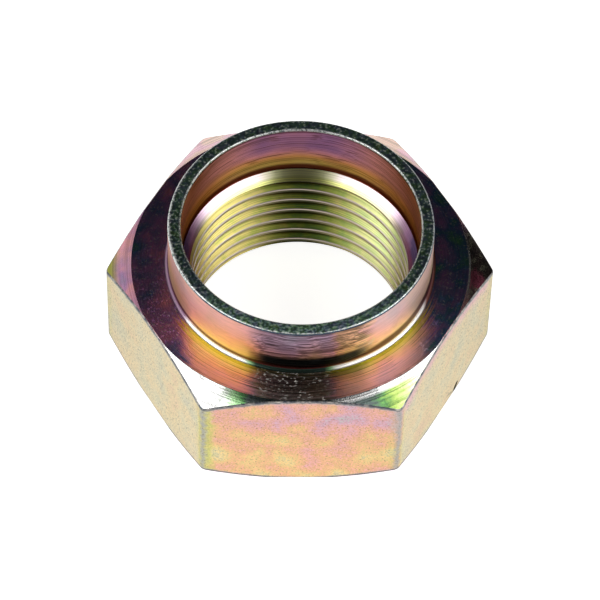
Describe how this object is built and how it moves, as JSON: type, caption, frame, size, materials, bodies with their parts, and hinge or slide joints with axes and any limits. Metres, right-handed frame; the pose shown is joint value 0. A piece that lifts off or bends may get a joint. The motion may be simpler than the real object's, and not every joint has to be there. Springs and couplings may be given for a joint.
{
  "type": "spindle nut",
  "caption": "Hexagon spindle nut in yellow-plated steel, with chamfered ends, a fine internal thread and a thin staking collar on one end.",
  "frame": {"origin": "centre of the flat bearing face, on the thread's axis", "axes": "+Z along the thread's axis from the bearing face to the collar's rim; +X through a corner of the hexagon, so that two flats face +Y and -Y"},
  "size_m": [0.042, 0.0366, 0.0214],
  "materials": {
    "plated_steel": "turned and tumbled steel under iridescent yellow zinc plating"
  },
  "bodies": {
    "root": {"spindle_nut": "plated_steel"}
  },
  "joints": []
}
